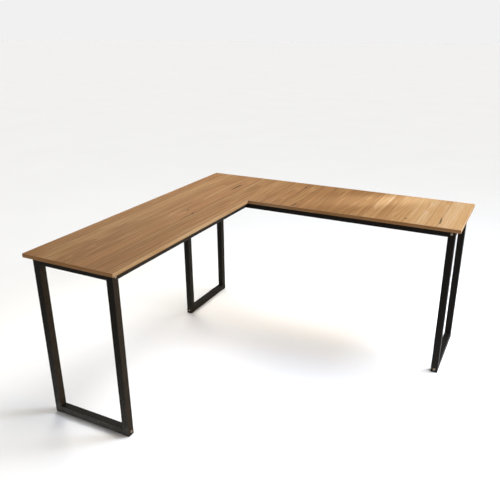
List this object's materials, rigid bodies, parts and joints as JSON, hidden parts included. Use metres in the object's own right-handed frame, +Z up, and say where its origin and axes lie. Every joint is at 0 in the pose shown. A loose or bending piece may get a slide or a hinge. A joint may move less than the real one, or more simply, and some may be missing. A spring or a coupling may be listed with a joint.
{
  "type": "corner desk",
  "caption": "L-shaped corner desk: a thin wood-decor board on closed rectangular leg frames and rails of square black steel tube.",
  "frame": {"origin": "on the floor, at the middle of the square that the L-shaped board fits in", "axes": "+Z up; the right wing runs along X on the +Y (back) side; the left wing runs along Y on the -X side; the person sits in the open corner, towards +X and -Y"},
  "size_m": [1.5, 1.5, 0.75],
  "materials": {
    "wood_decor": "satin oak-look plank decor",
    "edging_plastic": "satin wood-look edging",
    "black_steel": "fine-textured black powder coat",
    "black_bracket_steel": "fine-textured black powder coat",
    "black_plastic": "matt moulded plastic",
    "insert_plastic": "matt moulded plastic",
    "bolt_steel": "dull nickel plate",
    "screw_steel": "zinc plate"
  },
  "bodies": {
    "root": {"back_edging": "edging_plastic", "board_screws": "screw_steel", "bracket_screws": "screw_steel", "corner_back_foot": "black_plastic", "corner_frame_back_bracket": "black_bracket_steel", "corner_frame_back_upright": "black_steel", "corner_frame_bottom_rail": "black_steel", "corner_frame_front_bracket": "black_bracket_steel", "corner_frame_front_upright": "black_steel", "corner_frame_top_rail": "black_steel", "corner_front_foot": "black_plastic", "frame_bolts": "bolt_steel", "left_frame_bottom_rail": "black_steel", "left_frame_inner_bracket": "black_bracket_steel", "left_frame_inner_upright": "black_steel", "left_frame_outer_bracket": "black_bracket_steel", "left_frame_outer_upright": "black_steel", "left_frame_top_rail": "black_steel", "left_front_edging": "edging_plastic", "left_inner_edging": "edging_plastic", "left_inner_foot": "black_plastic", "left_inner_rail": "black_steel", "left_outer_edging": "edging_plastic", "left_outer_foot": "black_plastic", "left_outer_rail": "black_steel", "left_wing_inner_bracket": "black_bracket_steel", "left_wing_outer_bracket": "black_bracket_steel", "rail_inserts": "insert_plastic", "right_back_foot": "black_plastic", "right_back_rail": "black_steel", "right_end_edging": "edging_plastic", "right_frame_back_bracket": "black_bracket_steel", "right_frame_back_upright": "black_steel", "right_frame_bottom_rail": "black_steel", "right_frame_front_bracket": "black_bracket_steel", "right_frame_front_upright": "black_steel", "right_frame_top_rail": "black_steel", "right_front_edging": "edging_plastic", "right_front_foot": "black_plastic", "right_front_rail": "black_steel", "worktop_board": "wood_decor"}
  },
  "joints": []
}
